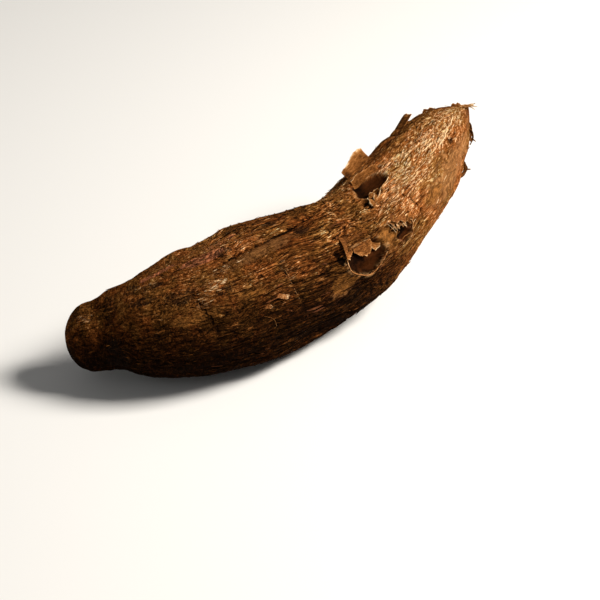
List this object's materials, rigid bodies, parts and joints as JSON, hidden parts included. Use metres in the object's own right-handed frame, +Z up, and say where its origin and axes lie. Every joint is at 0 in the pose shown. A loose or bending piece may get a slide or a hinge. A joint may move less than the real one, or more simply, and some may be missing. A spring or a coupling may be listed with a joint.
{
  "type": "cassava root",
  "caption": "Whole cassava root lying on its side: a bent, tapering body of rough flaking brown bark with a knobbly stub at one end and a pointed, broken tip at the other.",
  "frame": {"origin": "on the table, under the middle of the root's outline seen from above", "axes": "+Z up; +X from the stub to the pointed tip; the root bows towards -Y in its middle"},
  "size_m": [0.3029, 0.0916, 0.0899],
  "materials": {
    "bark": "dry, matt, rough brown bark that splits lengthwise and peels in thin flakes"
  },
  "bodies": {
    "root": {"cassava_root": "bark"}
  },
  "joints": []
}
